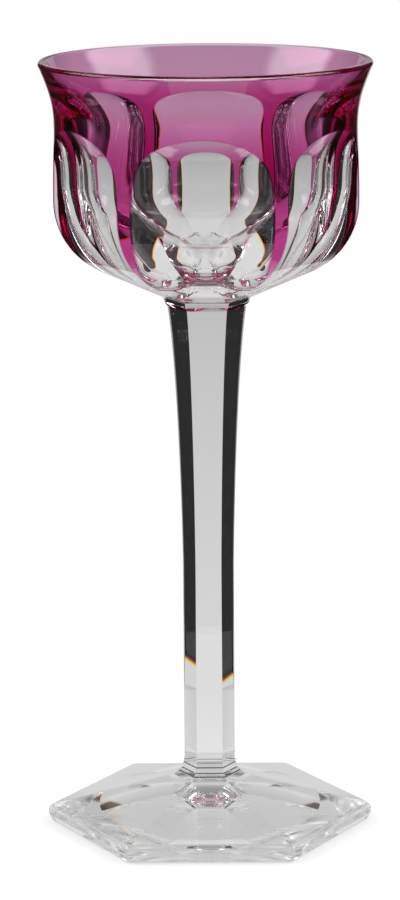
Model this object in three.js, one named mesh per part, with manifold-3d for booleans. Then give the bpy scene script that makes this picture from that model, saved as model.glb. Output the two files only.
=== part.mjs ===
// A hock wine glass in cased and cut crystal.
// Millimetres, +Z up. The origin is on the resting plane, on the axis of the stem.
// The glass repeats six times round its axis. The front (-Y) shows a flat of the stem and the middle of a panel.

import * as THREE from 'three';
import { mergeVertices } from 'three/addons/utils/BufferGeometryUtils.js';
import Module from 'manifold-3d';

// Sides of the cut glass, and the angle that puts a flat of each hexagon to the front
const SIDES = 6;
const HALF_SIDE = Math.PI / SIDES;

// Foot: a thick hexagon with bevelled edges, a low pyramid above and a hollow below
const FOOT_ACROSS_FLATS = 71.8;
const FOOT_CORNER_ROUNDING = 2.2;
const FOOT_EDGE_HEIGHT = 4.5;
const FOOT_TOP_BEVEL = 1.2;
const FOOT_BOTTOM_BEVEL = 0.8;
const FOOT_HEIGHT = 12.2;
const HOLLOW_RADIUS = 27;
const HOLLOW_DEPTH = 4.5;

// Stem: corner radii of its hexagon and the lengths over which they change
const STEM_LENGTH = 121.4;
const STEM_TOP_RADIUS = 9.85;
const STEM_WAIST_RADIUS = 6.45;
const STEM_SEAT_RADIUS = 9.2;
const STEM_TAPER_LENGTH = 66;
const STEM_TAPER_BEND_LENGTH = 33;
const STEM_TAPER_BEND_REACH = 0.5;
const STEM_HEAD_BEND_LENGTH = 9;
const STEM_HEAD_BEND_REACH = 1.4;
const STEM_FLARE_LENGTH = 12;
const STEM_FLARE_RADIUS = 6.8;
const STEM_FLARE_HEIGHT = 3.3;
const LOW_STEP_RADIUS = 8;
const LOW_STEP_HEIGHT = 1.1;
const HIGH_STEP_RADIUS = 7.2;
const HIGH_STEP_HEIGHT = 1.9;

// Collar: a small hexagonal ring with two bevels, given by its corner radius
const COLLAR_HEIGHT = 2.1;
const COLLAR_RADIUS = 10.8;
const COLLAR_BEVEL_HEIGHT = 0.9;
const COLLAR_BEVEL_REACH = 0.25;

// Bowl: outer shape, a shallow cone, a round shoulder, an upright belly and a flared rim
const BOWL_HEIGHT = 59.3;
const BOWL_BASE_SLOPE = THREE.MathUtils.degToRad(23);
const SHOULDER_RADIUS = 19.5;
const BELLY_RADIUS = 37.9;
const RIM_RADIUS = 41.7;
const FLARE_BEND_HEIGHT = 21.2;
const FLARE_DRAW_IN = 2.2;

// Drinking space inside the bowl
const RIM_WALL = 1.8;
const RIM_ROUNDING = 0.6;
const BELLY_WALL = 7.3;
const BASE_THICKNESS = 7.8;
const CAVITY_ROUND_HEIGHT = 22;
const CAVITY_ROUND_POWER = 2.15;
const CAVITY_FLARE_RISE = 15.5;
const CAVITY_FLARE_DROP = 11.5;
const CAVITY_FLARE_REACH = 4.3;

// Panels: six arched cuts, each straight across and curved from top to bottom
const PANEL_DEPTH = 4.25;
const PANEL_SHOULDER_RADIUS = 20;
const PANEL_TOP_BELOW_RIM = 15.5;
const PANEL_ARCH_RISE = 5;
const PANEL_ARCH_REACH = 3.8;
const PANEL_ARCH_BEND = 10.4;

// Coloured casing over the bowl, fused to it on the real glass and kept just clear of it here
const CASING_THICKNESS = 0.9;
const CASING_TIP_THICKNESS = 0.4;
const CASING_TAPER_HEIGHT = 12;
const CASING_TIP_HEIGHT = 4.2;
const CASING_GAP = 0.3;

// Fineness of the facets
const BOWL_SEGMENTS = 60;
const HOLLOW_SEGMENTS = 48;
const CURVE_STEPS = 8;
const CAVITY_STEPS = 12;
const CORNER_STEPS = 6;
const TOOL_MARGIN = 6;

const wasm = await Module();
wasm.setup();

const toCorner = (apothem) => apothem / Math.cos(HALF_SIDE);
const toApothem = (corner) => corner * Math.cos(HALF_SIDE);
const at = (radius, height) => new THREE.Vector2(radius, height);

// A closed geometry as a solid: corners are shared and triangles with no area are dropped.
function solidOf(geometry) {
  const bare = geometry.index ? geometry.toNonIndexed() : geometry.clone();
  bare.deleteAttribute('normal');
  bare.deleteAttribute('uv');
  const merged = mergeVertices(bare, 1e-4);
  const triangles = [];
  for (let i = 0; i < merged.index.count; i += 3) {
    const [a, b, c] = [0, 1, 2].map((k) => merged.index.getX(i + k));
    if (a !== b && b !== c && c !== a) triangles.push(a, b, c);
  }
  return new wasm.Manifold(new wasm.Mesh({
    numProp: 3,
    vertProperties: new Float32Array(merged.attributes.position.array),
    triVerts: new Uint32Array(triangles),
  }));
}

// A solid as a geometry that a mesh can show.
function geometryOf(solid) {
  const { vertProperties, triVerts } = solid.getMesh();
  const geometry = new THREE.BufferGeometry();
  geometry.setAttribute('position', new THREE.BufferAttribute(vertProperties, 3));
  geometry.setIndex(new THREE.BufferAttribute(triVerts, 1));
  geometry.computeVertexNormals();
  return geometry;
}

// A profile of (radius, height) points turned round +Z, with a point of the profile at each segment.
function turned(profile, segments, startAngle = 0) {
  return solidOf(new THREE.LatheGeometry(profile, segments, startAngle).rotateX(Math.PI / 2));
}

// A hexagonal piece: the profile gives the corner radius at each height.
const hexagonal = (profile) => turned(profile, SIDES, HALF_SIDE);

// Points of an arc between two angles, measured from the +radius direction.
function arc(centre, radius, from, to, steps = CURVE_STEPS) {
  return Array.from({ length: steps + 1 }, (_, i) => {
    const angle = from + (to - from) * i / steps;
    return at(centre.x + radius * Math.cos(angle), centre.y + radius * Math.sin(angle));
  });
}

// Points of a cubic curve through its two ends.
const bend = (...controls) => new THREE.CubicBezierCurve(...controls).getPoints(CURVE_STEPS);

// A quarter of an oval, from its side to its bottom on the axis. An ellipse has a power of two.
function roundBottom(radius, top, height, power) {
  return Array.from({ length: CAVITY_STEPS + 1 }, (_, i) => {
    const angle = Math.PI / 2 * i / CAVITY_STEPS;
    return at(radius * Math.cos(angle) ** (2 / power), top - height * Math.sin(angle) ** (2 / power));
  });
}

// A straight line from a start point that runs into an arc ending upright at the arc's outer side.
// Gives the arc's centre and the line's slope, for a line that starts at (startRadius, 0).
function tangentShoulder(startRadius, bellyRadius, shoulderRadius, centreHeight) {
  const offset = bellyRadius - shoulderRadius - startRadius;
  const reach = Math.hypot(centreHeight, offset);
  const slope = Math.acos(shoulderRadius / reach) - Math.atan2(offset, centreHeight);
  return { centre: at(bellyRadius - shoulderRadius, centreHeight), slope };
}

// Bowl's outer profile from its seat on the collar to the rim, heights above the seat.
const shoulderRun = BELLY_RADIUS - SHOULDER_RADIUS * (1 - Math.sin(BOWL_BASE_SLOPE)) - COLLAR_RADIUS;
const bellyHeight = shoulderRun * Math.tan(BOWL_BASE_SLOPE) + SHOULDER_RADIUS * Math.cos(BOWL_BASE_SLOPE);
const shoulderCentre = at(BELLY_RADIUS - SHOULDER_RADIUS, bellyHeight);
const outerProfile = [
  at(COLLAR_RADIUS, 0),
  ...arc(shoulderCentre, SHOULDER_RADIUS, BOWL_BASE_SLOPE - Math.PI / 2, 0),
  ...bend(
    at(BELLY_RADIUS, bellyHeight),
    at(BELLY_RADIUS, bellyHeight + FLARE_BEND_HEIGHT),
    at(BELLY_RADIUS - FLARE_DRAW_IN, bellyHeight + FLARE_BEND_HEIGHT),
    at(RIM_RADIUS, BOWL_HEIGHT),
  ).slice(1),
];

// The outer profile from a height up, with a point added at that height.
function outerAbove(height) {
  const first = outerProfile.findIndex((point) => point.y > height);
  const [low, high] = [outerProfile[first - 1], outerProfile[first]];
  const start = low.clone().lerp(high, (height - low.y) / (high.y - low.y));
  return [start, ...outerProfile.slice(first)];
}

// The profile moved into the glass, by a depth that may change with height. Its ends keep their heights.
function inset(profile, depthAt) {
  return profile.map((point, i) => {
    const before = profile[Math.max(i - 1, 0)];
    const after = profile[Math.min(i + 1, profile.length - 1)];
    const along = after.clone().sub(before).normalize();
    const depth = depthAt(point.y);
    const isEnd = i === profile.length - 1;
    if (isEnd) return at(point.x - depth / along.y, point.y);
    return at(point.x - along.y * depth, point.y + along.x * depth);
  });
}

// Casing: thin at its tips, full above.
const casingProfile = outerAbove(CASING_TIP_HEIGHT);
function casingDepth(height) {
  const share = THREE.MathUtils.clamp((height - CASING_TIP_HEIGHT) / CASING_TAPER_HEIGHT, 0, 1);
  return THREE.MathUtils.lerp(CASING_TIP_THICKNESS, CASING_THICKNESS, share);
}
const casingInside = inset(casingProfile, casingDepth);

// Bowl under the casing, its rim and its drinking space.
const bowlUnderCasing = inset(casingProfile, (height) => casingDepth(height) + CASING_GAP);
const cavityRadius = BELLY_RADIUS - BELLY_WALL;
const cavityTop = BASE_THICKNESS + CAVITY_ROUND_HEIGHT;
const rimInside = RIM_RADIUS - RIM_WALL;
const cavityProfile = [
  at(rimInside - RIM_ROUNDING / 2, BOWL_HEIGHT - RIM_ROUNDING),
  ...bend(
    at(rimInside - RIM_ROUNDING / 2, BOWL_HEIGHT - RIM_ROUNDING),
    at(cavityRadius + CAVITY_FLARE_REACH, BOWL_HEIGHT - CAVITY_FLARE_DROP),
    at(cavityRadius, cavityTop + CAVITY_FLARE_RISE),
    at(cavityRadius, cavityTop),
  ).slice(1),
  ...roundBottom(cavityRadius, cavityTop, CAVITY_ROUND_HEIGHT, CAVITY_ROUND_POWER).slice(1, -1),
  at(0, BASE_THICKNESS),
];

// Panel: a profile of distance from the axis against height, cut straight across the panel.
const panelSeat = toApothem(COLLAR_RADIUS);
const panelBelly = BELLY_RADIUS - PANEL_DEPTH;
const panelTop = BOWL_HEIGHT - PANEL_TOP_BELOW_RIM;
const panelShoulder = tangentShoulder(panelSeat, panelBelly, PANEL_SHOULDER_RADIUS, bellyHeight);
const archSlope = PANEL_ARCH_REACH / PANEL_ARCH_RISE;
const archEnd = at(panelBelly + PANEL_ARCH_REACH, panelTop);
const outside = RIM_RADIUS + TOOL_MARGIN;
const panelProfile = [
  at(panelSeat - TOOL_MARGIN, -TOOL_MARGIN * Math.tan(panelShoulder.slope)),
  ...arc(panelShoulder.centre, PANEL_SHOULDER_RADIUS, panelShoulder.slope - Math.PI / 2, 0),
  ...bend(
    at(panelBelly, bellyHeight),
    at(panelBelly, bellyHeight + PANEL_ARCH_BEND),
    at(archEnd.x - archSlope * PANEL_ARCH_RISE, archEnd.y - PANEL_ARCH_RISE),
    archEnd,
  ).slice(1),
  at(outside, panelTop + (outside - archEnd.x) / archSlope),
  at(outside, -TOOL_MARGIN),
];

// The six panel cutters as solids, the first facing the front.
const cutterWidth = 2 * BELLY_RADIUS * Math.tan(HALF_SIDE);
const cutter = new THREE.ExtrudeGeometry(new THREE.Shape(panelProfile), { depth: cutterWidth, bevelEnabled: false })
  .translate(0, 0, -cutterWidth / 2)
  .rotateX(Math.PI / 2);
const panelCutters = Array.from({ length: SIDES }, (_, i) => {
  const facing = -Math.PI / 2 + 2 * HALF_SIDE * i;
  return solidOf(cutter.clone().rotateZ(facing));
});
const withPanels = (solid) => panelCutters.reduce((cut, panel) => cut.subtract(panel), solid);

function makeBowl() {
  const rimOutside = bowlUnderCasing.at(-1);
  const tip = casingProfile[0];
  const ledge = at(tip.x - CASING_GAP / Math.tan(BOWL_BASE_SLOPE), tip.y - CASING_GAP);
  return withPanels(turned([
    at(0, 0),
    at(COLLAR_RADIUS, 0),
    ledge,
    ...bowlUnderCasing.slice(0, -1),
    at(rimOutside.x, rimOutside.y - RIM_ROUNDING / 2),
    at(rimOutside.x - RIM_ROUNDING / 2, rimOutside.y),
    at(rimInside, BOWL_HEIGHT),
    ...cavityProfile,
  ], BOWL_SEGMENTS));
}

function makeCasing() {
  const ring = [...casingProfile, ...casingInside.toReversed()];
  return withPanels(turned([...ring, ring[0]], BOWL_SEGMENTS));
}

function makeCollar() {
  return hexagonal([
    at(0, 0),
    at(STEM_TOP_RADIUS, 0),
    at(COLLAR_RADIUS - COLLAR_BEVEL_REACH, COLLAR_BEVEL_HEIGHT),
    at(COLLAR_RADIUS, COLLAR_HEIGHT),
    at(0, COLLAR_HEIGHT),
  ]);
}

function makeStem() {
  return hexagonal([
    at(0, 0),
    at(STEM_SEAT_RADIUS, 0),
    at(LOW_STEP_RADIUS, LOW_STEP_HEIGHT),
    at(HIGH_STEP_RADIUS, HIGH_STEP_HEIGHT),
    ...bend(
      at(STEM_FLARE_RADIUS, STEM_FLARE_HEIGHT),
      at(STEM_WAIST_RADIUS, STEM_FLARE_LENGTH / 2),
      at(STEM_WAIST_RADIUS, STEM_FLARE_LENGTH / 2),
      at(STEM_WAIST_RADIUS, STEM_FLARE_LENGTH),
    ),
    ...bend(
      at(STEM_WAIST_RADIUS, STEM_LENGTH - STEM_TAPER_LENGTH),
      at(STEM_WAIST_RADIUS + STEM_TAPER_BEND_REACH, STEM_LENGTH - STEM_TAPER_BEND_LENGTH),
      at(STEM_TOP_RADIUS - STEM_HEAD_BEND_REACH, STEM_LENGTH - STEM_HEAD_BEND_LENGTH),
      at(STEM_TOP_RADIUS, STEM_LENGTH),
    ),
    at(0, STEM_LENGTH),
  ]);
}

function makeFoot() {
  const corner = toCorner(FOOT_ACROSS_FLATS / 2);
  const topCorner = corner - toCorner(FOOT_TOP_BEVEL);
  const bottomCorner = corner - toCorner(FOOT_BOTTOM_BEVEL);
  const bevelMeet = FOOT_EDGE_HEIGHT / 2;
  const pyramid = hexagonal([
    at(0, 0),
    at(bottomCorner, 0),
    at(bottomCorner + toCorner(bevelMeet), bevelMeet),
    at(topCorner + toCorner(FOOT_EDGE_HEIGHT - bevelMeet), bevelMeet),
    at(topCorner, FOOT_EDGE_HEIGHT),
    at(STEM_SEAT_RADIUS, FOOT_HEIGHT),
    at(0, FOOT_HEIGHT),
  ]);
  const outline = new THREE.Shape();
  for (let i = 0; i < SIDES; i += 1) {
    const toward = 2 * HALF_SIDE * i;
    const centre = corner - toCorner(FOOT_CORNER_ROUNDING);
    outline.absarc(
      centre * Math.cos(toward), centre * Math.sin(toward),
      FOOT_CORNER_ROUNDING, toward - HALF_SIDE, toward + HALF_SIDE, false,
    );
  }
  const edge = new THREE.ExtrudeGeometry(outline, {
    depth: FOOT_HEIGHT + 2 * TOOL_MARGIN, bevelEnabled: false, curveSegments: CORNER_STEPS,
  }).translate(0, 0, -TOOL_MARGIN);
  const dishRadius = (HOLLOW_RADIUS ** 2 + HOLLOW_DEPTH ** 2) / (2 * HOLLOW_DEPTH);
  const dishAngle = Math.asin(HOLLOW_RADIUS / dishRadius);
  const dishCentre = at(0, HOLLOW_DEPTH - dishRadius);
  const hollow = turned([
    at(0, -TOOL_MARGIN),
    at(HOLLOW_RADIUS, -TOOL_MARGIN),
    ...arc(dishCentre, dishRadius, Math.PI / 2 - dishAngle, Math.PI / 2).slice(0, -1),
    at(0, HOLLOW_DEPTH),
  ], HOLLOW_SEGMENTS);
  return pyramid.intersect(solidOf(edge)).subtract(hollow);
}

// Clear lead crystal and amethyst glass
const crystal = { color: 0xd4d6d4, roughness: 0.03, metalness: 0 };
const amethyst = { color: 0x9c3a86, roughness: 0.03, metalness: 0 };

const glass = new THREE.Group();
function place(name, solid, finish, height) {
  const mesh = new THREE.Mesh(geometryOf(solid), new THREE.MeshStandardMaterial(finish));
  mesh.name = name;
  mesh.position.z = height;
  glass.add(mesh);
}

const stemTop = FOOT_HEIGHT + STEM_LENGTH;
const bowlSeat = stemTop + COLLAR_HEIGHT;
place('foot', makeFoot(), crystal, 0);
place('stem', makeStem(), crystal, FOOT_HEIGHT);
place('collar', makeCollar(), crystal, stemTop);
place('bowl', makeBowl(), crystal, bowlSeat);
place('casing', makeCasing(), amethyst, bowlSeat);

export default glass;
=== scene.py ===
# %% [markdown]
# # A hock wine glass in cased and cut crystal
# The real glass is blown clear crystal with a thin coat of amethyst glass over the bowl.
# A cutter then grinds six arched panels through the coat, and six flats along the stem and foot.
# Every surface here is worked out with numpy from a few sizes, because cut glass is pure geometry:
# what the eye sees is light bent by the true shape of each facet.

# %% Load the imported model
import math

import bpy
import numpy as np
from mathutils import Matrix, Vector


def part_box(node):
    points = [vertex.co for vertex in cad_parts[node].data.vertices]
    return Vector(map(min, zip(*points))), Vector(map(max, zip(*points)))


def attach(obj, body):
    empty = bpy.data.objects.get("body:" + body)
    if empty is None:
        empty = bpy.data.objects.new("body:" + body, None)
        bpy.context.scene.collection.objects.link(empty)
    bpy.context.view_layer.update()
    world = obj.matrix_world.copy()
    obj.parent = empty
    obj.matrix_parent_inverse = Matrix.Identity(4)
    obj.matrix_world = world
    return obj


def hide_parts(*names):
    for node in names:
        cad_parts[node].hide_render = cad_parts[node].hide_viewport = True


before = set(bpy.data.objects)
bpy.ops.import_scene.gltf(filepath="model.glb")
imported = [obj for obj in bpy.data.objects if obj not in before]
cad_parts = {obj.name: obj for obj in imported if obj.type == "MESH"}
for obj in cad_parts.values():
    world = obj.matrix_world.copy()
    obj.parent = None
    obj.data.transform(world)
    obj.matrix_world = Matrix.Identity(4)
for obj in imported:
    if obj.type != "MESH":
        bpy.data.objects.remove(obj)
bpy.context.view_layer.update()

print("pieces of the frame:", sorted(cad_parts))

# %% [markdown]
# ## Heights from the frame
# Shapes below are written in millimetres, as a glass cutter would measure them, and become metres
# only when a mesh is made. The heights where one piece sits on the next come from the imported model.

# %% Heights and radii
MM = 0.001
SIDES = 6
HALF_SIDE = math.pi / SIDES


def millimetres(node):
    """The lowest and highest corner of a node of the frame, in millimetres."""
    low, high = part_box(node)
    return np.array(low) / MM, np.array(high) / MM


FOOT_TOP = millimetres("foot")[1][2]
STEM_TOP = millimetres("stem")[1][2]
BOWL_SEAT = millimetres("collar")[1][2]
RIM_TOP = millimetres("casing")[1][2]
RIM_RADIUS = millimetres("casing")[1][0]
BOWL_HEIGHT = RIM_TOP - BOWL_SEAT
print(f"foot to {FOOT_TOP:.1f}, stem to {STEM_TOP:.1f}, bowl from {BOWL_SEAT:.1f} to {RIM_TOP:.1f} mm")

# %% [markdown]
# ## From grids to meshes
# A surface is a grid of points with rows and columns. Neighbouring grids share an edge, so points
# that fall together are welded into one, and a quad that closes up at a pole becomes a triangle.
# That gives a closed solid, which glass needs: light has to know when it goes in and comes out.
# Each face also gets a finish: polished, fused to the next piece, or dulled by grinding.

# %% Weld grids into a piece
WELD = 2e-4
WELD_OFFSET = 0.37
SHARP_ANGLE = math.radians(8)
POLISHED, FUSED, DULLED = 0, 1, 2


def grid_quads(rows, columns, closed):
    """Corner numbers of the quads of a grid; a closed grid joins its last column to its first."""
    row = np.arange(rows - 1)[:, None] * columns
    column = np.arange(columns if closed else columns - 1)
    right = (column + 1) % columns
    corners = [row + column, row + right, row + columns + right, row + columns + column]
    return np.stack(corners, axis=-1).reshape(-1, 4)


def weld(points, quads):
    """Joins points that share a cell of a fine lattice, and drops the corners and faces that close up."""
    cell = np.floor(points / WELD + WELD_OFFSET).astype(np.int64)
    _, first, number = np.unique(cell, axis=0, return_index=True, return_inverse=True)
    quads = number.reshape(-1)[quads]
    same = quads == np.roll(quads, -1, axis=1)
    crossed = (quads[:, 0] == quads[:, 2]) | (quads[:, 1] == quads[:, 3])
    whole = (same.sum(axis=1) == 0) & ~crossed
    pointed = (same.sum(axis=1) == 1) & ~crossed
    triangles = quads[pointed][~same[pointed]].reshape(-1, 3)
    return points[first], quads[whole], triangles, whole, pointed


def make_piece(name, patches, node):
    """Builds one closed mesh from patches and sets it in the frame.

    A patch is a grid of points, the finish of its faces, and whether its last column meets its first.
    """
    points, quads, finish = [], [], []
    start = 0
    for grid, patch_finish, closed in patches:
        rows, columns = grid.shape[:2]
        faces = grid_quads(rows, columns, closed)
        points.append(grid.reshape(-1, 3))
        quads.append(faces + start)
        face_grid = (rows - 1, len(faces) // (rows - 1))
        finish.append(np.broadcast_to(patch_finish, face_grid).reshape(-1))
        start += rows * columns
    points, quads, finish = map(np.concatenate, (points, quads, finish))
    points, squares, triangles, whole, pointed = weld(points, quads)
    mesh = bpy.data.meshes.new(name)
    mesh.from_pydata((points * MM).tolist(), [], squares.tolist() + triangles.tolist())
    finish = np.concatenate([finish[whole], finish[pointed]]).astype(np.int32)
    fused = (finish == FUSED).astype(np.float32)
    mesh.attributes.new("fused", "FLOAT", "FACE").data.foreach_set("value", fused)
    mesh.shade_smooth()
    mesh.set_sharp_from_angle(angle=SHARP_ANGLE)
    piece = bpy.data.objects.new(name, mesh)
    bpy.context.scene.collection.objects.link(piece)
    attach(piece, "root")
    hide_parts(node)
    print(f"{name}: {len(points)} points, {2 * len(squares) + len(triangles)} triangles")
    return piece, finish


# %% [markdown]
# ## The bowl's profile
# The bowl is a body of revolution before it is cut: a shallow cone on the collar, a round shoulder,
# an upright belly and a flared rim. A lathe would spin a profile, and so does this script: each
# profile is a list of (radius, height) points made of a line, an arc and a cubic curve.

# %% Profile curves
PROFILE_STEPS = 160


def arc(centre, radius, start, stop):
    """Points of a circle: its centre plus the radius turned evenly from one angle to another."""
    angle = np.linspace(start, stop, PROFILE_STEPS)
    return np.column_stack([centre[0] + radius * np.cos(angle), centre[1] + radius * np.sin(angle)])


def bend(first, leaving, arriving, last):
    """Points of a cubic curve: four control points, each weighted by its Bernstein share."""
    t = np.linspace(0, 1, PROFILE_STEPS)[:, None]
    first, leaving, arriving, last = map(np.array, (first, leaving, arriving, last))
    near, far = (1 - t) ** 3 * first, t ** 3 * last
    return near + 3 * (1 - t) ** 2 * t * leaving + 3 * (1 - t) * t ** 2 * arriving + far


def line(first, last):
    """Points spaced evenly along a straight line."""
    return np.linspace(first, last, PROFILE_STEPS)


def radius_at(profile, height):
    """Radius of a profile at each height, read between its points."""
    return np.interp(height, profile[:, 1], profile[:, 0])


# %% Outside of the bowl
SEAT_RADIUS = 10.8
BASE_SLOPE = math.radians(23)
SHOULDER_RADIUS = 19.5
BELLY_RADIUS = 37.9
FLARE_BEND = 21.2
FLARE_DRAW_IN = 2.2

shoulder_run = BELLY_RADIUS - SHOULDER_RADIUS * (1 - math.sin(BASE_SLOPE)) - SEAT_RADIUS
BELLY_HEIGHT = shoulder_run * math.tan(BASE_SLOPE) + SHOULDER_RADIUS * math.cos(BASE_SLOPE)
shoulder = arc((BELLY_RADIUS - SHOULDER_RADIUS, BELLY_HEIGHT), SHOULDER_RADIUS, BASE_SLOPE - math.pi / 2, 0)
flare = bend(
    (BELLY_RADIUS, BELLY_HEIGHT),
    (BELLY_RADIUS, BELLY_HEIGHT + FLARE_BEND),
    (BELLY_RADIUS - FLARE_DRAW_IN, BELLY_HEIGHT + FLARE_BEND),
    (RIM_RADIUS, BOWL_HEIGHT),
)
outside = np.vstack([line((SEAT_RADIUS, 0), shoulder[0]), shoulder[1:], flare[1:]])
print(f"belly {2 * BELLY_RADIUS:.1f} mm across, {BELLY_HEIGHT:.1f} mm above the seat")

# %% [markdown]
# ## The panels
# A cutting wheel grinds each panel very slightly hollow across, and curved from top to bottom. So a
# panel is a surface whose distance from the glass's axis, measured square to the panel, depends on
# height, less a shallow arc across. Where that distance passes the round outside, the cut runs out,
# and the edge it leaves is the arch. The cutter set the bowl a degree or two off the stem's flats.

# %% Depth of the panels
PANEL_DEPTH = 4.25
PANEL_SHOULDER = 20
PANEL_TOP = BOWL_HEIGHT - 15.5
ARCH_RISE = 5
ARCH_REACH = 3.8
ARCH_BEND = 10.4
ARCH_TAIL = 6
# Radius of the arc ground across a panel, and the height at which it has its full depth
HOLLOW_GRIND = 306
HOLLOW_START = 8
BOWL_TURN = math.radians(-1.6)
ARCH_SEARCH = 20001

panel_seat = SEAT_RADIUS * math.cos(HALF_SIDE)
panel_belly = BELLY_RADIUS - PANEL_DEPTH
centre_offset = panel_belly - PANEL_SHOULDER - panel_seat
panel_slope = math.acos(PANEL_SHOULDER / math.hypot(BELLY_HEIGHT, centre_offset))
panel_slope -= math.atan2(centre_offset, BELLY_HEIGHT)
panel_centre = (panel_belly - PANEL_SHOULDER, BELLY_HEIGHT)
panel_round = arc(panel_centre, PANEL_SHOULDER, panel_slope - math.pi / 2, 0)
panel_arch = bend(
    (panel_belly, BELLY_HEIGHT),
    (panel_belly, BELLY_HEIGHT + ARCH_BEND),
    (panel_belly, PANEL_TOP - ARCH_RISE),
    (panel_belly + ARCH_REACH, PANEL_TOP),
)
panel_tail = panel_arch[-1] + np.array([[ARCH_REACH, ARCH_RISE]]) * ARCH_TAIL
panel = np.vstack([line((panel_seat, 0), panel_round[0]), panel_round[1:], panel_arch[1:], panel_tail])


def hollow_grind(height):
    """Middle and curve of a panel: at x across it, its distance from the axis is middle + curve x^2."""
    depth, round_radius = radius_at(panel, height), radius_at(outside, height)
    half_width = np.sqrt(np.maximum(round_radius ** 2 - depth ** 2, 0))
    half_width = np.minimum(half_width, depth * math.tan(HALF_SIDE))
    curve = np.clip(height / HOLLOW_START, 0, 1) / (2 * HOLLOW_GRIND)
    return depth - curve * half_width ** 2, curve


def panel_radius(height, across):
    """Radius of a panel at angles a across it: solves r cos a = middle + curve (r sin a)^2."""
    middle, curve = (value[:, None] for value in hollow_grind(height))
    bend_term = 4 * curve * np.sin(across) ** 2 * middle
    return 2 * middle / (np.cos(across) + np.sqrt(np.cos(across) ** 2 - bend_term))


def panel_cosine(profile, height):
    """Cosine of the angle a at which a panel meets a round profile: the same equation for a known r."""
    middle, curve = hollow_grind(height)
    radius = radius_at(profile, height)
    reach = middle + curve * radius ** 2
    return 2 * reach / (1 + np.sqrt(1 + 4 * curve * reach)) / radius


def panel_half_angle(profile, height):
    """Half the angle that a panel takes from a round profile."""
    return np.arccos(np.clip(panel_cosine(profile, height), -1, 1))


def arch_top(profile):
    """Height at which the panels run out of a round profile."""
    height = np.linspace(BELLY_HEIGHT, BOWL_HEIGHT, ARCH_SEARCH)
    return height[np.argmax(panel_cosine(profile, height) >= 1)]


print(f"panels run out {BOWL_HEIGHT - arch_top(outside):.1f} mm below the rim")

# %% [markdown]
# ## The amethyst casing
# On the real glass the coat is fused to the crystal, so no air lies between them. Blowing stretches
# it thin towards the rim, and it runs out to nothing at its lower tips. Its inner face is the outside
# profile moved into the glass, square to it.
# A gap of a few hundredths of a millimetre keeps the two meshes apart, and both faces along it let
# light pass straight, as a fused joint does.

# %% Inner face of the casing
CASING_THICKNESS = 0.36
CASING_THINNING = 0.7
THINNING_FOOT = 34
THINNING_TOP = 54
CASING_TIP = 4.2
CASING_TAPER = 12
FUSED_GAP = 0.02
GAP_PARTS = 10


def smooth(t):
    """Rises from 0 to 1 with a level start and end."""
    t = np.clip(t, 0, 1)
    return t * t * (3 - 2 * t)


def inset(profile, depth):
    """Moves each point of a profile into the glass, square to the profile, by its own depth."""
    along = np.gradient(profile, axis=0)
    along /= np.linalg.norm(along, axis=1, keepdims=True)
    return profile + np.column_stack([-along[:, 1], along[:, 0]]) * depth[:, None]


thinned = 1 - CASING_THINNING * smooth((outside[:, 1] - THINNING_FOOT) / (THINNING_TOP - THINNING_FOOT))
casing_depth = CASING_THICKNESS * thinned * smooth((outside[:, 1] - CASING_TIP) / CASING_TAPER)
casing_inside = inset(outside, casing_depth)
bowl_outside = inset(outside, casing_depth + np.minimum(FUSED_GAP, casing_depth / GAP_PARTS))
print(f"casing {casing_depth.max():.2f} mm thick at the belly, {casing_depth[-1]:.2f} mm at the rim")

# %% [markdown]
# ## Rim and drinking space
# The rim is ground and polished round. It is half an ellipse set across the wall: its outer end belongs
# to the coat and the rest to the crystal. The drinking space is a round-bottomed cup that follows the
# flare, and leaves a thick lens of crystal under it.

# %% Rim and cavity profiles
HALF_WALL = 0.9
RIM_LIP = 0.8
LIP_STEPS = 24
CAVITY_RADIUS = 30.6
CAVITY_FLOOR = 7.8
CAVITY_ROUND = 22.0
CAVITY_POWER = 2.15
CAVITY_RISE = 15.5
CAVITY_FLARE = 12
CUP_STEPS = 121

flare_way = outside[-1] - outside[-2]
flare_way /= np.linalg.norm(flare_way)
flare_out = np.array([flare_way[1], -flare_way[0]])
lip_rise = math.hypot(HALF_WALL * flare_out[1], RIM_LIP * flare_way[1])
wall_middle = inset(outside, np.full(len(outside), HALF_WALL))
lip_height = BOWL_HEIGHT - lip_rise
lip_middle = np.array([radius_at(wall_middle, lip_height), lip_height])


def lip(start, stop):
    """Half ellipse over the wall: across it by the cosine of a turn, along the flare by its sine."""
    turn = np.linspace(start, stop, LIP_STEPS)[:, None]
    return lip_middle + HALF_WALL * np.cos(turn) * flare_out + RIM_LIP * np.sin(turn) * flare_way


coat_turn = math.acos(1 - casing_depth[-1] / HALF_WALL)
crystal_turn = math.acos(1 - (casing_depth[-1] + FUSED_GAP) / HALF_WALL)
coat_lip, crystal_lip = lip(0, coat_turn), lip(crystal_turn, math.pi)
cavity_top = CAVITY_FLOOR + CAVITY_ROUND
cavity_flare = bend(
    crystal_lip[-1],
    crystal_lip[-1] - flare_way * CAVITY_FLARE,
    (CAVITY_RADIUS, cavity_top + CAVITY_RISE),
    (CAVITY_RADIUS, cavity_top),
)


def cup(count):
    """Bottom of the drinking space: a quarter of an oval, whose power is a little over an ellipse's two."""
    turn = np.linspace(0, math.pi / 2, count)
    power = 2 / CAVITY_POWER
    return np.column_stack(
        [CAVITY_RADIUS * np.cos(turn) ** power, cavity_top - CAVITY_ROUND * np.sin(turn) ** power]
    )


cavity = np.vstack([cavity_flare[::2], cup(CUP_STEPS)[1:]])
cavity[-1, 0] = 0
print(f"drinking space {2 * CAVITY_RADIUS:.1f} mm across, {BOWL_HEIGHT - CAVITY_FLOOR:.1f} mm deep")

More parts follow.
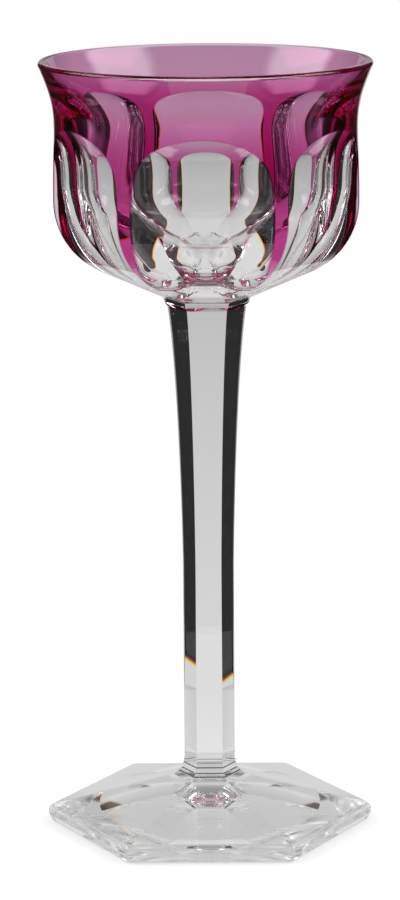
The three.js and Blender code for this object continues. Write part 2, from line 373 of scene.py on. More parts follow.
# %% [markdown]
# ## Cutting the bowl
# The cut bowl is still a grid: rows climb the profile, and columns follow the edges of the cuts, so
# each arris is a line of the grid and stays crisp. Rows crowd together towards the top of an arch,
# where its edge turns over. The radius is the smaller of the round profile and the panel.

# %% Rows and columns of the cut
ARCH_FOOT = 33.0
BASE_ROWS = 14
SHOULDER_ROWS = 64
BELLY_ROWS = 30
ARCH_ROWS = 28
BAND_ROWS = 26
PANEL_COLUMNS = 12
BAR_COLUMNS = 16
SEAT_RINGS = 4


def crowd(low, high, count):
    """Heights that crowd together towards the upper end, by the square of the distance left."""
    return high - (high - low) * np.linspace(1, 0, count) ** 2


def climb(tops, end):
    """Heights of the rows from the casing's tips to under the lip, crowded below each arch top."""
    heights = [np.linspace(CASING_TIP, BELLY_HEIGHT, SHOULDER_ROWS)]
    heights.append(np.linspace(BELLY_HEIGHT, ARCH_FOOT, BELLY_ROWS))
    starts = [ARCH_FOOT, *tops[:-1]]
    heights += [crowd(low, high, ARCH_ROWS) for low, high in zip(starts, tops)]
    heights.append(np.linspace(tops[-1], end, BAND_ROWS))
    return np.unique(np.concatenate(heights))


def spread(edges, counts):
    """Column angles between edge angles that change from row to row, evenly spaced in each stretch."""
    parts = [
        low[:, None] + (high - low)[:, None] * np.linspace(0, 1, count + 1)[None, (k > 0):]
        for k, (low, high, count) in enumerate(zip(edges[:-1], edges[1:], counts))
    ]
    return np.concatenate(parts, axis=1)


def turn_points(radius, angle, height):
    """Points of a grid from cylinder coordinates."""
    height = np.broadcast_to(height, radius.shape)
    return np.stack([radius * np.cos(angle), radius * np.sin(angle), height + BOWL_SEAT], axis=-1)


# %% The clear bowl
def cut_bowl():
    """Clear crystal of the bowl: cut outside, inner half of the lip, drinking space and seat."""
    base = np.linspace(0, CASING_TIP, BASE_ROWS)[:-1]
    height = np.concatenate([base, climb([arch_top(bowl_outside)], crystal_lip[0, 1])])
    edge = np.minimum(panel_half_angle(bowl_outside, height), HALF_SIDE)
    half = spread([0 * edge, edge, np.full_like(edge, HALF_SIDE)], [PANEL_COLUMNS, BAR_COLUMNS])
    across = np.concatenate([-half[:, :0:-1], half[:, :-1]], axis=1)
    radius = np.minimum(radius_at(bowl_outside, height)[:, None], panel_radius(height, across))
    radius[-1] = crystal_lip[0, 0]
    facing = BOWL_TURN - math.pi / 2 + 2 * HALF_SIDE * np.arange(SIDES)
    angle = (facing[:, None, None] + across).transpose(1, 0, 2).reshape(len(height), -1)
    outer = turn_points(np.tile(radius, (1, SIDES)), angle, height[:, None])
    on_bar = np.zeros(2 * (PANEL_COLUMNS + BAR_COLUMNS), bool)
    on_bar[:BAR_COLUMNS] = True
    on_bar[-BAR_COLUMNS:] = True
    covered = height[:-1] >= CASING_TIP
    fused = np.tile(on_bar, SIDES) & covered[:, None]
    inner = np.vstack([crystal_lip, cavity[1:]])
    inner_angle = np.broadcast_to(angle[-1], (len(inner), angle.shape[1]))
    inner_grid = turn_points(inner[:, :1] + 0 * inner_angle, inner_angle, inner[:, 1:])
    middle = np.array([0, 0, BOWL_SEAT])
    seat = np.linspace(0, 1, SEAT_RINGS)[:, None, None] * (outer[0] - middle) + middle
    return [(outer, fused, True), (inner_grid, POLISHED, True), (seat, FUSED, True)]


bowl, bowl_finish = make_piece("bowl_cut_crystal", cut_bowl(), "bowl")

# %% [markdown]
# ## Cutting the casing
# What the panels leave of the coat is a band round the rim with six bars hanging from it. Cutting a
# shell with six others would leave ragged edges. So each sixth of it is a grid of its own, round one
# bar: up the outer face, over the lip and down the inner face. Both faces meet in a wedge at the cut.

# %% The amethyst casing
WEDGE_COLUMNS = 5
CASING_BAR_COLUMNS = 14


def coat_angles(height):
    """Angles from a panel's middle: the edge of the coat's inner face, over the cut edge, to mid-bar."""
    edges = [panel_half_angle(casing_inside, height), panel_half_angle(outside, height)]
    return spread([*edges, np.full_like(height, HALF_SIDE)], [WEDGE_COLUMNS, CASING_BAR_COLUMNS])


def cut_casing():
    """Coat of the bowl in six grids, each round one bar: outer face with its cut edge, lip, inner face."""
    tops = [arch_top(casing_inside), arch_top(outside)]
    outer_height = climb(tops, coat_lip[0, 1])
    inner_height = climb(tops, coat_lip[-1, 1])[::-1]
    outer_angle, inner_angle = coat_angles(outer_height), coat_angles(inner_height)
    round_radius = radius_at(outside, outer_height)[:, None]
    outer_radius = np.minimum(round_radius, panel_radius(outer_height, outer_angle))
    outer_radius[-1] = coat_lip[0, 0]
    cut_through = outer_height <= tops[0]
    outer_radius[cut_through, 0] = radius_at(casing_inside, outer_height[cut_through])
    inner_radius = np.repeat(radius_at(casing_inside, inner_height)[:, None], inner_angle.shape[1], axis=1)
    inner_radius[0], inner_radius[-1] = coat_lip[-1, 0], outer_radius[0]
    rim_angle = np.repeat(outer_angle[-1:], LIP_STEPS - 2, axis=0)
    rim_radius = np.repeat(coat_lip[1:-1, :1], outer_angle.shape[1], axis=1)
    rows = np.concatenate([outer_height, coat_lip[1:-1, 1], inner_height])
    angle = np.concatenate([outer_angle, rim_angle, inner_angle])
    radius = np.concatenate([outer_radius, rim_radius, inner_radius])
    fused = np.arange(len(rows) - 1)[:, None] >= len(outer_height) + LIP_STEPS - 2
    across = np.concatenate([angle, (2 * HALF_SIDE - angle)[:, -2::-1]], axis=1)
    radius = np.concatenate([radius, radius[:, -2::-1]], axis=1)
    facing = BOWL_TURN - math.pi / 2 + 2 * HALF_SIDE * np.arange(SIDES)
    return [(turn_points(radius, across + start, rows[:, None]), fused, False) for start in facing]


casing, _ = make_piece("casing_amethyst", cut_casing(), "casing")

# %% [markdown]
# ## Six-sided pieces
# Collar, stem and foot are ground to six flats, with arrises that the polisher leaves slightly round.
# Each is a profile carried up the axis: at every height the section is a hexagon whose corners are
# small arcs. Columns sit close to both ends of a flat, so that the flat is shaded as truly flat.

# %% Rounded hexagon rings
CORNER_ARC = np.linspace(-HALF_SIDE, HALF_SIDE, 13)
FLAT_SUPPORT = 0.01
FLAT_STEPS = 4
ARRIS_STEPS = 9
ARRIS_LIMIT = 0.45
CAP_RINGS = 5


def hexagon_rings(corner, rounding, height, flat_steps):
    """Rings of a rounded hexagon: an arc at each corner, about a point set in from it, then a flat."""
    corner, rounding = np.broadcast_arrays(corner, rounding)
    toward = 2 * HALF_SIDE * np.arange(SIDES)[None, :, None]
    centre = (corner - rounding / math.cos(HALF_SIDE))[:, None, None]
    x = centre * np.cos(toward) + rounding[:, None, None] * np.cos(toward + CORNER_ARC)
    y = centre * np.sin(toward) + rounding[:, None, None] * np.sin(toward + CORNER_ARC)
    corners = np.stack([x, y], axis=-1)
    start, stop = corners[:, :, -1:], np.roll(corners, -1, axis=1)[:, :, :1]
    between = np.linspace(0, 1, flat_steps + 1)[1:-1]
    share = np.concatenate([[FLAT_SUPPORT], between, [1 - FLAT_SUPPORT]])
    flats = start + (stop - start) * share[:, None]
    ring = np.concatenate([corners, flats], axis=2).reshape(len(corner), -1, 2)
    level = np.broadcast_to(np.reshape(height, (-1, 1, 1)), ring.shape[:2] + (1,))
    return np.concatenate([ring, level], axis=-1)


def soften(profile, reach):
    """Rounds each corner of a profile with a short curve that leaves one line and joins the next."""
    before, corner, after = profile[:-2], profile[1:-1], profile[2:]
    ways = np.stack([before - corner, after - corner])
    ways *= np.minimum(reach / np.linalg.norm(ways, axis=-1, keepdims=True), ARRIS_LIMIT)
    t = np.linspace(0, 1, ARRIS_STEPS)[:, None]
    curve = corner[:, None] + (1 - t) ** 2 * ways[0][:, None] + t ** 2 * ways[1][:, None]
    return np.vstack([profile[:1], curve.reshape(-1, 2), profile[-1:]])


def to_centre(ring, height):
    """A flat cap from a ring to a point on the axis, scaled in even steps."""
    share = np.linspace(1, 0, CAP_RINGS)[:, None, None]
    cap = ring[None] * share
    cap[..., 2] = height
    return cap


# %% [markdown]
# ## Collar
# A small hexagonal ring with two bevels carries the bowl. It is a bead of crystal put on hot, and is
# cut together with the stem. Three hexagons give its two bevels, and both ends are fused.

# %% Collar
ARRIS = 0.25
COLLAR_BEVEL = 0.9
COLLAR_BEVEL_REACH = 0.25
STEM_TOP_RADIUS = 9.85


def make_collar():
    """Ring of two bevels between the stem and the bowl."""
    corner = np.array([STEM_TOP_RADIUS, SEAT_RADIUS - COLLAR_BEVEL_REACH, SEAT_RADIUS])
    height = np.array([STEM_TOP, STEM_TOP + COLLAR_BEVEL, BOWL_SEAT])
    wall = hexagon_rings(corner, ARRIS, height, FLAT_STEPS)
    under = to_centre(wall[0], STEM_TOP)[::-1]
    over = to_centre(wall[-1], BOWL_SEAT)
    return [(under, FUSED, True), (wall, POLISHED, True), (over, FUSED, True)]


collar, collar_finish = make_piece("collar_ring", make_collar(), "collar")

# %% [markdown]
# ## Stem
# The stem is one rod of crystal, cut along its whole length. It is slim for most of its height, opens
# towards the bowl, and meets the foot in fine steps with a groove at each. Such grooves could be a
# bump in the finish, but light that crosses the glass shows their real shape, so they are cut here.

# %% Stem
STEM_WAIST = 6.45
STEM_SEAT = 9.2
LOW_STEP = (8.0, 1.1)
HIGH_STEP = (7.2, 1.9)
STEM_FLARE = (6.8, 3.3)
FLARE_TOP = 4.9
NOTCH_HEIGHT = 0.18
NOTCH_DEPTH = 0.28
TAPER_LENGTH = 66
TAPER_BEND = 33
TAPER_REACH = 0.5
HEAD_BEND = 9
HEAD_REACH = 1.4


def notch(profile):
    """Cuts a groove into each corner of a profile: from just below it, in to the axis, to just above."""
    before, corner, after = profile[:-2], profile[1:-1], profile[2:]
    below, above = before - corner, after - corner
    below = corner + below * NOTCH_HEIGHT / np.abs(below[:, 1:])
    above = corner + above * NOTCH_HEIGHT / np.abs(above[:, 1:])
    grooves = np.stack([below, corner - [NOTCH_DEPTH, 0], above], axis=1)
    return np.vstack([profile[:1], grooves.reshape(-1, 2), profile[-1:]])


def make_stem():
    """Six-sided stem: grooved steps and a small flare at the foot, and a taper that opens at the head."""
    length = STEM_TOP - FOOT_TOP
    seat, waist = (STEM_SEAT, 0), (STEM_WAIST, FLARE_TOP)
    steps = notch(np.array([seat, LOW_STEP, HIGH_STEP, STEM_FLARE, waist]))
    taper = bend(
        (STEM_WAIST, length - TAPER_LENGTH),
        (STEM_WAIST + TAPER_REACH, length - TAPER_BEND),
        (STEM_TOP_RADIUS - HEAD_REACH, length - HEAD_BEND),
        (STEM_TOP_RADIUS, length),
    )
    profile = np.vstack([steps, taper[::4], taper[-1:]])
    wall = hexagon_rings(profile[:, 0], ARRIS, profile[:, 1] + FOOT_TOP, FLAT_STEPS)
    under = to_centre(wall[0], FOOT_TOP)[::-1]
    over = to_centre(wall[-1], STEM_TOP)
    return [(under, FUSED, True), (wall, POLISHED, True), (over, FUSED, True)]


stem, stem_finish = make_piece("stem_six_sided", make_stem(), "stem")

# %% [markdown]
# ## Foot
# The foot is a thick hexagon with bevelled edges and a low six-sided pyramid on top. A shallow dome is
# ground out of its underside, so that it stands on its margin and does not rock. Its wall is the same
# hexagon ring as the stem's, and the dome is a part of a sphere that meets it in a flat sole.

# %% Foot
FOOT_APOTHEM = 35.9
FOOT_ROUNDING = 1.2
FOOT_ARRIS = 0.4
FOOT_EDGE = 4.5
TOP_BEVEL = 0.9
LOW_BEVEL_HEIGHT = 2.0
LOW_BEVEL = 0.8
SOLE_LIP = 1.6
HOLLOW_RADIUS = 27.0
HOLLOW_DEPTH = 4.5
HOLLOW_RINGS = 20
FOOT_FLAT_STEPS = 16


def make_foot():
    """Low pyramid with a bevelled edge, and a round hollow ground into its underside."""
    apothem, height = soften(np.array([
        (FOOT_APOTHEM - SOLE_LIP, 0),
        (FOOT_APOTHEM - LOW_BEVEL, 0),
        (FOOT_APOTHEM, LOW_BEVEL_HEIGHT),
        (FOOT_APOTHEM, FOOT_EDGE - TOP_BEVEL),
        (FOOT_APOTHEM - TOP_BEVEL, FOOT_EDGE),
        (STEM_SEAT * math.cos(HALF_SIDE), FOOT_TOP),
    ]), FOOT_ARRIS).T
    rounding = np.interp(height, [FOOT_EDGE, FOOT_TOP], [FOOT_ROUNDING, ARRIS])
    wall = hexagon_rings(apothem / math.cos(HALF_SIDE), rounding, height, FOOT_FLAT_STEPS)
    around = np.arctan2(wall[0, :, 1], wall[0, :, 0])
    circle = np.stack([np.cos(around), np.sin(around)], axis=-1)
    dish = (HOLLOW_RADIUS ** 2 + HOLLOW_DEPTH ** 2) / (2 * HOLLOW_DEPTH)
    reach = HOLLOW_RADIUS * np.linspace(0, 1, HOLLOW_RINGS)[:, None, None]
    depth = np.sqrt(dish ** 2 - reach ** 2) - (dish - HOLLOW_DEPTH)
    depth = np.broadcast_to(depth, (HOLLOW_RINGS, len(around), 1))
    hollow = np.concatenate([reach * circle, depth], axis=-1)
    sole = np.stack([hollow[-1], wall[0]])
    over = to_centre(wall[-1], FOOT_TOP)
    return [(hollow, DULLED, True), (sole, DULLED, True), (wall, POLISHED, True), (over, FUSED, True)]


foot, foot_finish = make_piece("foot_hexagon", make_foot(), "foot")

# %% [markdown]
# ## Shader sums
# Finishes are node trees. One small class wraps a socket, so that sums on sockets read as sums, and
# one method adds any other node.

# %% Wire
class Wire:
    """One socket of a node tree. Arithmetic on wires adds Math nodes to the tree."""

    def __init__(self, tree, socket=None):
        self.tree = tree
        self.socket = socket

    def node(self, kind, settings=None, inputs=None, output=0):
        """Adds a node: its settings first, then the values or links of its sockets."""
        made = self.tree.nodes.new(kind)
        for name, value in (settings or {}).items():
            setattr(made, name, value)
        for name, value in (inputs or {}).items():
            if isinstance(value, Wire):
                self.tree.links.new(value.socket, made.inputs[name])
            else:
                made.inputs[name].default_value = value
        return Wire(self.tree, made.outputs[output] if len(made.outputs) else None)

    def sum(self, operation, *values):
        """A Math node of that operation on wires or numbers."""
        return self.node("ShaderNodeMath", {"operation": operation}, dict(enumerate(values)))

    def __add__(self, other):
        return self.sum("ADD", self, other)

    def __sub__(self, other):
        return self.sum("SUBTRACT", self, other)

    def __rsub__(self, other):
        return self.sum("SUBTRACT", other, self)

    def __mul__(self, other):
        return self.sum("MULTIPLY", self, other)

    __radd__ = __add__
    __rmul__ = __mul__


def eased(value, low, high, first=0.0, last=1.0):
    """Goes from one level to another between two values of a wire, with a level start and end."""
    return value.node("ShaderNodeMapRange", {"interpolation_type": "SMOOTHSTEP"},
                      {0: value, 1: low, 2: high, 3: first, 4: last})


def axis_of(place, axis):
    """One coordinate of a place or direction."""
    return place.node("ShaderNodeSeparateXYZ", inputs={0: place}, output=axis)


def new_material(name):
    """An empty material and a wire to start its tree from."""
    material = bpy.data.materials.new(name)
    material.use_nodes = True
    material.node_tree.nodes.clear()
    return material, Wire(material.node_tree)


# %% [markdown]
# ## Clear crystal
# Lead crystal bends light more than window glass. Hand polishing leaves the flats very slightly wavy,
# which a shallow bump gives, and a trace of haze that changes over the surface. The whole underside of
# the foot, sole and hollow, is ground a little duller. The grooves of the stem have painted shade: their
# colour is darkened to near black. A face that is fused to the next piece isn't there for light at all, so
# it is clear.

# %% Crystal
CRYSTAL_IOR = 1.545
WHITE = (1, 1, 1, 1)
RIPPLE_SCALE = 90
RIPPLE_DEPTH = 0.00001
SMEAR_SCALE = 360
HAZE = 0.008
GROUND_HAZE = 0.12
# Painted shade in the stem's grooves: how dark the glass colour is made there
GROOVE_PAINTED_SHADE = 0.03


def polished_glass(start, haze=HAZE, colour=WHITE):
    """Glass with a hand-polished skin: roughness and bump from two noises."""
    place = start.node("ShaderNodeTexCoord", output="Object")

    def noise(scale, detail):
        """Soft patches of about one over the scale, in metres."""
        return start.node("ShaderNodeTexNoise", inputs={"Vector": place, "Scale": scale, "Detail": detail})

    ripple, smear = noise(RIPPLE_SCALE, 1.0), noise(SMEAR_SCALE, 3.0)
    relief = start.node("ShaderNodeBump", inputs={
        "Height": ripple,
        "Distance": RIPPLE_DEPTH,
        "Strength": 1.0,
    })
    return start.node("ShaderNodeBsdfPrincipled", inputs={
        "Base Color": colour,
        "Roughness": smear * haze,
        "IOR": CRYSTAL_IOR,
        "Transmission Weight": 1.0,
        "Normal": relief,
    })


def clear_crystal(name, haze=HAZE):
    """Colourless crystal with a finer or duller skin."""
    material, start = new_material(name)
    start.node("ShaderNodeOutputMaterial", inputs={"Surface": polished_glass(start, haze)})
    return material


def grooved_crystal():
    """Crystal with painted shade in its grooves: colour darkened within half a notch of each groove, clear
    elsewhere.
    """
    material, start = new_material("grooved_crystal")
    height = axis_of(start.node("ShaderNodeTexCoord", output="Object"), "Z")
    # Painted shade: the glass colour is darkened to near black along each groove of the stem
    groove_shade_factor = 1.0
    for step in (LOW_STEP, HIGH_STEP, STEM_FLARE):
        apart = start.sum("ABSOLUTE", height - (FOOT_TOP + step[1]) * MM)
        groove_shade_factor = groove_shade_factor * eased(apart, NOTCH_HEIGHT * MM / 2, NOTCH_HEIGHT * MM, GROOVE_PAINTED_SHADE)
    colour = start.node("ShaderNodeCombineColor", inputs={"Red": groove_shade_factor, "Green": groove_shade_factor, "Blue": groove_shade_factor})
    start.node("ShaderNodeOutputMaterial", inputs={"Surface": polished_glass(start, HAZE, colour)})
    return material


def fused_joint():
    """The face where two pieces of crystal are fused: light passes it straight."""
    material, start = new_material("fused_joint")
    clear = start.node("ShaderNodeBsdfTransparent", inputs={"Color": WHITE})
    start.node("ShaderNodeOutputMaterial", inputs={"Surface": clear})
    return material


# %% [markdown]
# ## Amethyst glass
# The coat takes its colour from depth: light loses green first, as it goes through. So the colour
# is a plain absorption in its volume, deeper at the edges where more glass lies in the way.

# %% Amethyst
AMETHYST = (0.84, 0.0, 0.57, 1)
AMETHYST_DENSITY = 6850.0


def amethyst_glass():
    """Polished glass with a coloured volume; its fused inner face lets light pass straight."""
    material, start = new_material("amethyst_glass")
    fused = start.node("ShaderNodeAttribute", {"attribute_name": "fused"}, output="Fac")
    clear = start.node("ShaderNodeBsdfTransparent", inputs={"Color": WHITE})
    skin = start.node("ShaderNodeMixShader", inputs={0: fused, 1: polished_glass(start), 2: clear})
    colour = start.node("ShaderNodeVolumeAbsorption", inputs={
        "Color": AMETHYST,
        "Density": AMETHYST_DENSITY,
    })
    start.node("ShaderNodeOutputMaterial", inputs={"Surface": skin, "Volume": colour})
    return material


# %% Finishes on the pieces
crystal, joint = clear_crystal("clear_crystal"), fused_joint()
finishes = {
    bowl: (bowl_finish, [crystal, joint]),
    collar: (collar_finish, [crystal, joint]),
    stem: (stem_finish, [grooved_crystal(), joint]),
    foot: (foot_finish, [crystal, joint, clear_crystal("ground_crystal", GROUND_HAZE)]),
}
for piece, (finish, materials) in finishes.items():
    for material in materials:
        piece.data.materials.append(material)
    piece.data.polygons.foreach_set("material_index", finish)
casing.data.materials.append(amethyst_glass())
print("finishes:", [m.name for m in bpy.data.materials if m.users])

# %% [markdown]
# ## Studio
# Glass shows what is around it, so the studio is part of the picture. A strip of pale paper runs under
# the glass and up behind it, and the room beside the paper is dark: that draws the dark edges which
# tell the eye where the facets are. Further round, both sides of the room are pale, and so is what is
# high up, while the camera's side is dark again. The camera itself sees plain white, and the paper is
# seen only in and through the glass.

# %% World
ROOM = 0.02
SIDE_ROOM = 0.68
PALE_ROOM = 0.4
FRONT_ROOM = 0.09
DARK_HALF = 60
DARK_EDGE = 8
FRONT_HALF = 90
FRONT_EDGE = 20
GROUND = -35
GROUND_EDGE = 8
CEILING = 31
CEILING_EDGE = 10
FLOOR_LIGHT = 1.14


def past(value, angle, edge):
    """0 before an angle in degrees and 1 past it, with a soft edge between."""
    return eased(value, math.radians(angle - edge / 2), math.radians(angle + edge / 2))


def studio_world():
    """White for the camera; for what is seen in the glass, a dark room, paler to the sides and above."""
    world = bpy.data.worlds.new("studio")
    bpy.context.scene.world = world
    world.use_nodes = True
    world.node_tree.nodes.clear()
    start = Wire(world.node_tree)
    way = start.node("ShaderNodeTexCoord", output="Generated")
    turn = start.sum("ABSOLUTE", start.sum("ARCTAN2", axis_of(way, "X"), axis_of(way, "Y")))
    lift = start.sum("ARCSINE", axis_of(way, "Z"))
    front = past(turn, FRONT_HALF, FRONT_EDGE)
    side = past(turn, DARK_HALF, DARK_EDGE) - front
    walls = (SIDE_ROOM - ROOM) * side + (FRONT_ROOM - ROOM) * front
    above = (PALE_ROOM - ROOM) * past(lift, CEILING, CEILING_EDGE)
    through = ROOM + start.sum("MAXIMUM", walls * past(lift, GROUND, GROUND_EDGE), above)
    ray = {name: start.node("ShaderNodeLightPath", output=f"Is {name} Ray")
           for name in ("Camera", "Diffuse", "Transmission")}
    seen = start.sum("MAXIMUM", ray["Camera"], ray["Transmission"] * through)
    seen = start.sum("MAXIMUM", seen, ray["Diffuse"] * FLOOR_LIGHT)
    seen = start.sum("MAXIMUM", seen, ROOM)
    light = start.node("ShaderNodeBackground", inputs={"Color": WHITE, "Strength": seen})
    start.node("ShaderNodeOutputWorld", inputs={"Surface": light})


studio_world()
print(f"room: {ROOM} beside the paper, {SIDE_ROOM} at the sides, {PALE_ROOM} above, {FRONT_ROOM} in front")

# %% Pieces of the studio
def stage_piece(name, points, faces, material, unseen_by):
    """A piece of the studio, which is no part of the glass and is left out for some kinds of ray."""
    mesh = bpy.data.meshes.new(name)
    mesh.from_pydata(points.reshape(-1, 3).tolist(), [], faces)
    mesh.materials.append(material)
    piece = bpy.data.objects.new(name, mesh)
    bpy.context.scene.collection.objects.link(piece)
    for ray in unseen_by:
        setattr(piece, f"visible_{ray}", False)
    print(f"{name}: {len(mesh.vertices)} points, unseen by {', '.join(unseen_by)} rays")
    return piece


def give_light(start, colour):
    """Ends a material with plain light of a colour."""
    glow = start.node("ShaderNodeEmission", inputs={"Color": colour, "Strength": 1.0})
    start.node("ShaderNodeOutputMaterial", inputs={"Surface": glow})


# %% [markdown]
# ## Paper and floor
# Each colour of light bends by its own amount in crystal, so the edge of the paper is seen at a
# slightly different place in red, green and blue, and gets a thin orange fringe. Tracing that colour
# by colour would take very long, so here the paper's own edge is set a little further out for red and
# further in for blue. The floor is a pale disc for the camera alone, and takes the foot's soft shadow.

# %% Paper
PAPER_LEFT = -0.096
PAPER_RIGHT = 0.11
PAPER_FRONT = -0.2
PAPER_BACK = 0.24
PAPER_BEND = 0.06
BEND_STEPS = 13
PAPER_TOP = 0.9
PAPER_DROP = 0.0005
PAPER_LOW = 0.72
PAPER_HIGH = 0.34
PAPER_FADE = 0.3
PAPER_MARGIN = 0.006
EDGE_SOFT = 0.003
EDGE_LAG = {"Red": -0.0015, "Green": 0.0, "Blue": 0.0015}
# Painted shadow of the glass on the paper under the foot, and the reach over which it fades out
GLASS_SHADE = 0.82
SHADE_START = 0.035
SHADE_END = 0.075


def paper_painted_light():
    """Paper drawn as painted light: it glows brighter near the floor, has a painted shadow of the glass
    under the foot, and has an edge of its own for each colour.
    """
    material, start = new_material("paper")
    place = start.node("ShaderNodeTexCoord", output="Object")
    x, z = axis_of(place, "X"), axis_of(place, "Z")
    # Painted light: the paper glows brighter near the floor and dimmer higher up the sweep
    level = start.node("ShaderNodeMapRange", inputs={
        0: z, 1: 0.0, 2: PAPER_FADE, 3: PAPER_LOW, 4: PAPER_HIGH,
    })
    reach = start.node("ShaderNodeVectorMath", {"operation": "LENGTH"}, {0: place}, output="Value")
    # Painted shadow: the paper's glow is darkened near the axis, under the glass
    level = level * eased(reach, SHADE_START, SHADE_END, GLASS_SHADE)

    def rises(value, edge):
        """Goes from 0 to 1 across the paper's edge."""
        return eased(value, edge - EDGE_SOFT / 2, edge + EDGE_SOFT / 2)

    edges = {
        colour: level * rises(x, PAPER_LEFT + lag) * rises(0 - x, lag - PAPER_RIGHT)
        for colour, lag in EDGE_LAG.items()
    }
    give_light(start, start.node("ShaderNodeCombineColor", inputs=edges))
    return material


def paper_sweep():
    """A strip of paper: along the floor, round a bend and up, as a profile carried across its width."""
    turn = np.linspace(0, math.pi / 2, BEND_STEPS)
    y = np.concatenate([[PAPER_FRONT], PAPER_BACK - PAPER_BEND + PAPER_BEND * np.sin(turn), [PAPER_BACK]])
    z = np.concatenate([[0], PAPER_BEND - PAPER_BEND * np.cos(turn), [PAPER_TOP]]) - PAPER_DROP
    side = np.array([PAPER_LEFT - PAPER_MARGIN, PAPER_RIGHT + PAPER_MARGIN])
    grid = np.stack(np.broadcast_arrays(side, y[:, None], z[:, None]), axis=-1)
    faces = grid_quads(len(y), 2, False).tolist()
    stage_piece("paper", grid, faces, paper_painted_light(), ("camera", "diffuse", "shadow"))


paper_sweep()

# %% [markdown]
# ## Low card
# The foot lies low and looks along the floor, where the dark room would fill it with black streaks. So
# a low card glowing white with painted light stands in an arc behind and beside it: the foot shows it, and
# the bowl looks over it.

# %% Low card
CARD_RADIUS = 0.064
CARD_HEIGHT = 0.018
CARD_END = 122
CARD_STEPS = 62
CARD_BACK = 0.78
CARD_SHADE = 0.52
CARD_BRIGHT = 1.1
BACK_END = 40
BRIGHT_START = 62
BRIGHT_END = 98
CARD_EDGE = 14
CARD_TOP_SHARE = 0.92


def low_card():
    """An upright strip on an arc round the foot that glows with painted light, brightest at both sides and
    near the floor.
    """
    material, start = new_material("low_card")
    place = start.node("ShaderNodeTexCoord", output="Object")
    x, y, z = (axis_of(place, axis) for axis in "XYZ")
    turn = start.sum("ARCTAN2", start.sum("ABSOLUTE", x), y)
    # Painted light: the card glows brightest at both sides, paler behind the foot and dimmer between and in
    # front
    bright = past(turn, BRIGHT_START, CARD_EDGE) - past(turn, BRIGHT_END, CARD_EDGE)
    level = CARD_BACK + (CARD_SHADE - CARD_BACK) * past(turn, BACK_END, CARD_EDGE)
    level = level + (CARD_BRIGHT - CARD_SHADE) * bright
    # Painted light: the glow dims a little towards the card's top
    upward = start.node("ShaderNodeMapRange", inputs={
        0: z, 1: 0.0, 2: CARD_HEIGHT, 3: 1.0, 4: CARD_TOP_SHARE,
    })
    give_light(start, level * upward)
    turn = np.radians(np.linspace(-CARD_END, CARD_END, CARD_STEPS))
    low_edge = CARD_RADIUS * np.column_stack([np.sin(turn), np.cos(turn), 0 * turn])
    points = np.stack([low_edge, low_edge + [0, 0, CARD_HEIGHT]])
    faces = grid_quads(2, CARD_STEPS, False).tolist()
    stage_piece("low_card", points, faces, material, ("camera", "diffuse", "shadow"))


low_card()

# %% Floor
FLOOR_RADIUS = 0.6
FLOOR_DROP = 0.0001
FLOOR_STEPS = 96
FLOOR_PALE = 0.86
SHADOW_SHARE = 0.5
SHADOW_REACH = 0.16


def pale_floor():
    """A round floor for the camera alone: a pale matt surface that fades into white away from the glass."""
    turn = np.linspace(0, 2 * math.pi, FLOOR_STEPS + 1)[:-1]
    x, y = FLOOR_RADIUS * np.cos(turn), FLOOR_RADIUS * np.sin(turn)
    ring = np.column_stack([x, y, np.full(FLOOR_STEPS, -FLOOR_DROP)])
    material, start = new_material("pale_floor")
    place = start.node("ShaderNodeTexCoord", output="Object")
    reach = start.node("ShaderNodeVectorMath", {"operation": "LENGTH"}, {0: place}, output="Value")
    near = eased(reach, SHADOW_REACH / 2, SHADOW_REACH, SHADOW_SHARE, 0.0)
    matt = start.node("ShaderNodeBsdfDiffuse", inputs={"Color": (FLOOR_PALE, FLOOR_PALE, FLOOR_PALE, 1)})
    white = start.node("ShaderNodeEmission", inputs={"Color": WHITE, "Strength": 1.0})
    skin = start.node("ShaderNodeMixShader", inputs={0: near, 1: white, 2: matt})
    start.node("ShaderNodeOutputMaterial", inputs={"Surface": skin})
    faces = [list(range(FLOOR_STEPS))]
    stage_piece("floor", ring, faces, material, ("transmission", "glossy", "diffuse"))


pale_floor()

# %% [markdown]
# ## Soft boxes
# A soft box is a lamp behind a stretched cloth, bright in the middle and dimmer towards its frame. One
# stands high at each side. A lamp of Blender's own would be evenly bright, so each box here is a card
# whose glow fades to its edges: in the glass it leaves a soft gleam.

# %% Soft boxes
BOX_AIM = np.array([0, 0, 0.17])
BOX_DISTANCE = 0.8
BOX_WIDTH = 0.8
BOX_HEIGHT = 0.56
BOX_LEVEL = 3.9
BOX_FADE = 0.22
LEFT_BOX = (-90, 34)
RIGHT_BOX = (82, 36)


def soft_glow():
    """White light that fades towards the edges of a card, by its own map of 0 to 1 across and up."""
    material, start = new_material("soft_box")
    place = start.node("ShaderNodeUVMap", {"uv_map": "card"})

    def fades(axis):
        """0 at both edges of the card and 1 in the middle."""
        along = axis_of(place, axis)
        return eased(start.sum("MINIMUM", along, 1 - along), 0.0, BOX_FADE)

    give_light(start, fades("X") * fades("Y") * BOX_LEVEL)
    return material


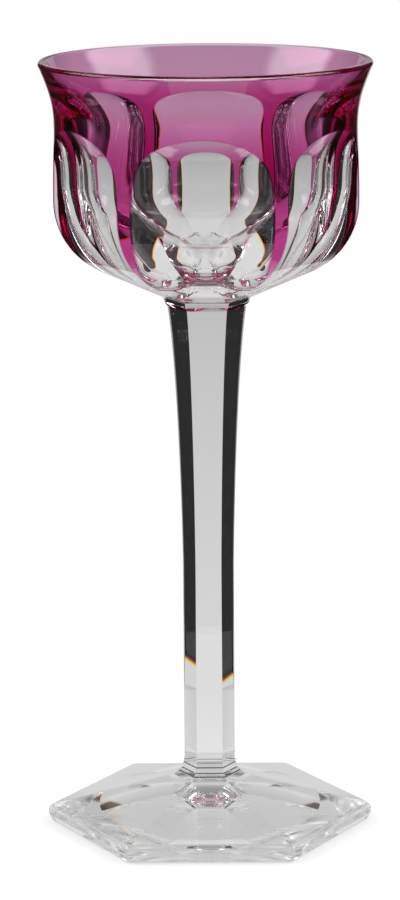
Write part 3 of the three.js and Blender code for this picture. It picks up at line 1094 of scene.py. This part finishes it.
def soft_box(name, turn, lift, material):
    """A card that faces the bowl from a direction, given in degrees from the front and from level."""
    turn, lift = math.radians(turn), math.radians(lift)
    way = np.array([math.sin(turn) * math.cos(lift), -math.cos(turn) * math.cos(lift), math.sin(lift)])
    across = np.array([math.cos(turn), math.sin(turn), 0])
    up = np.cross(way, across)
    u, v = np.array([[0, 0], [1, 0], [1, 1], [0, 1]]).T[:, :, None]
    middle = BOX_AIM + BOX_DISTANCE * way
    corners = middle + (u - 0.5) * BOX_WIDTH * across + (v - 0.5) * BOX_HEIGHT * up
    card = stage_piece(name, corners, [[0, 1, 2, 3]], material, ("camera", "shadow"))
    card.data.uv_layers.new(name="card").data.foreach_set("uv", np.concatenate([u, v], axis=1).ravel())


glow = soft_glow()
soft_box("soft_box_left", *LEFT_BOX, glow)
soft_box("soft_box_right", *RIGHT_BOX, glow)

# %% [markdown]
# ## Camera
# A long lens looks down at the glass a little, so that the rim shows as a flat oval and the foot as a
# hexagon. Light crosses many faces inside cut glass, and a path that ends too early leaves a black
# spot, so paths may bounce often.

# %% Camera
LENS = 147.0
CAMERA_PLACE = (0, -0.9032, 0.2878)
CAMERA_TILT = math.radians(90 - 11.937)
CAMERA_PAN = math.radians(0.124)
CAMERA_ROLL = math.radians(-0.378)
GLASS_BOUNCES = 64
CLEAR_BOUNCES = 128

view = bpy.data.cameras.new("camera")
view.lens = LENS
camera = bpy.data.objects.new("camera", view)
turned = Matrix.Rotation(CAMERA_PAN, 4, "Z") @ Matrix.Rotation(CAMERA_TILT, 4, "X")
camera.matrix_world = Matrix.Translation(CAMERA_PLACE) @ turned @ Matrix.Rotation(CAMERA_ROLL, 4, "Z")
bpy.context.scene.collection.objects.link(camera)
bpy.context.scene.camera = camera
bpy.context.scene.view_settings.view_transform = "Standard"
cycles = bpy.context.scene.cycles
cycles.max_bounces = GLASS_BOUNCES
cycles.transmission_bounces = GLASS_BOUNCES
cycles.glossy_bounces = GLASS_BOUNCES
cycles.transparent_max_bounces = CLEAR_BOUNCES
print(f"camera: {LENS:.0f} mm lens at {CAMERA_PLACE}")
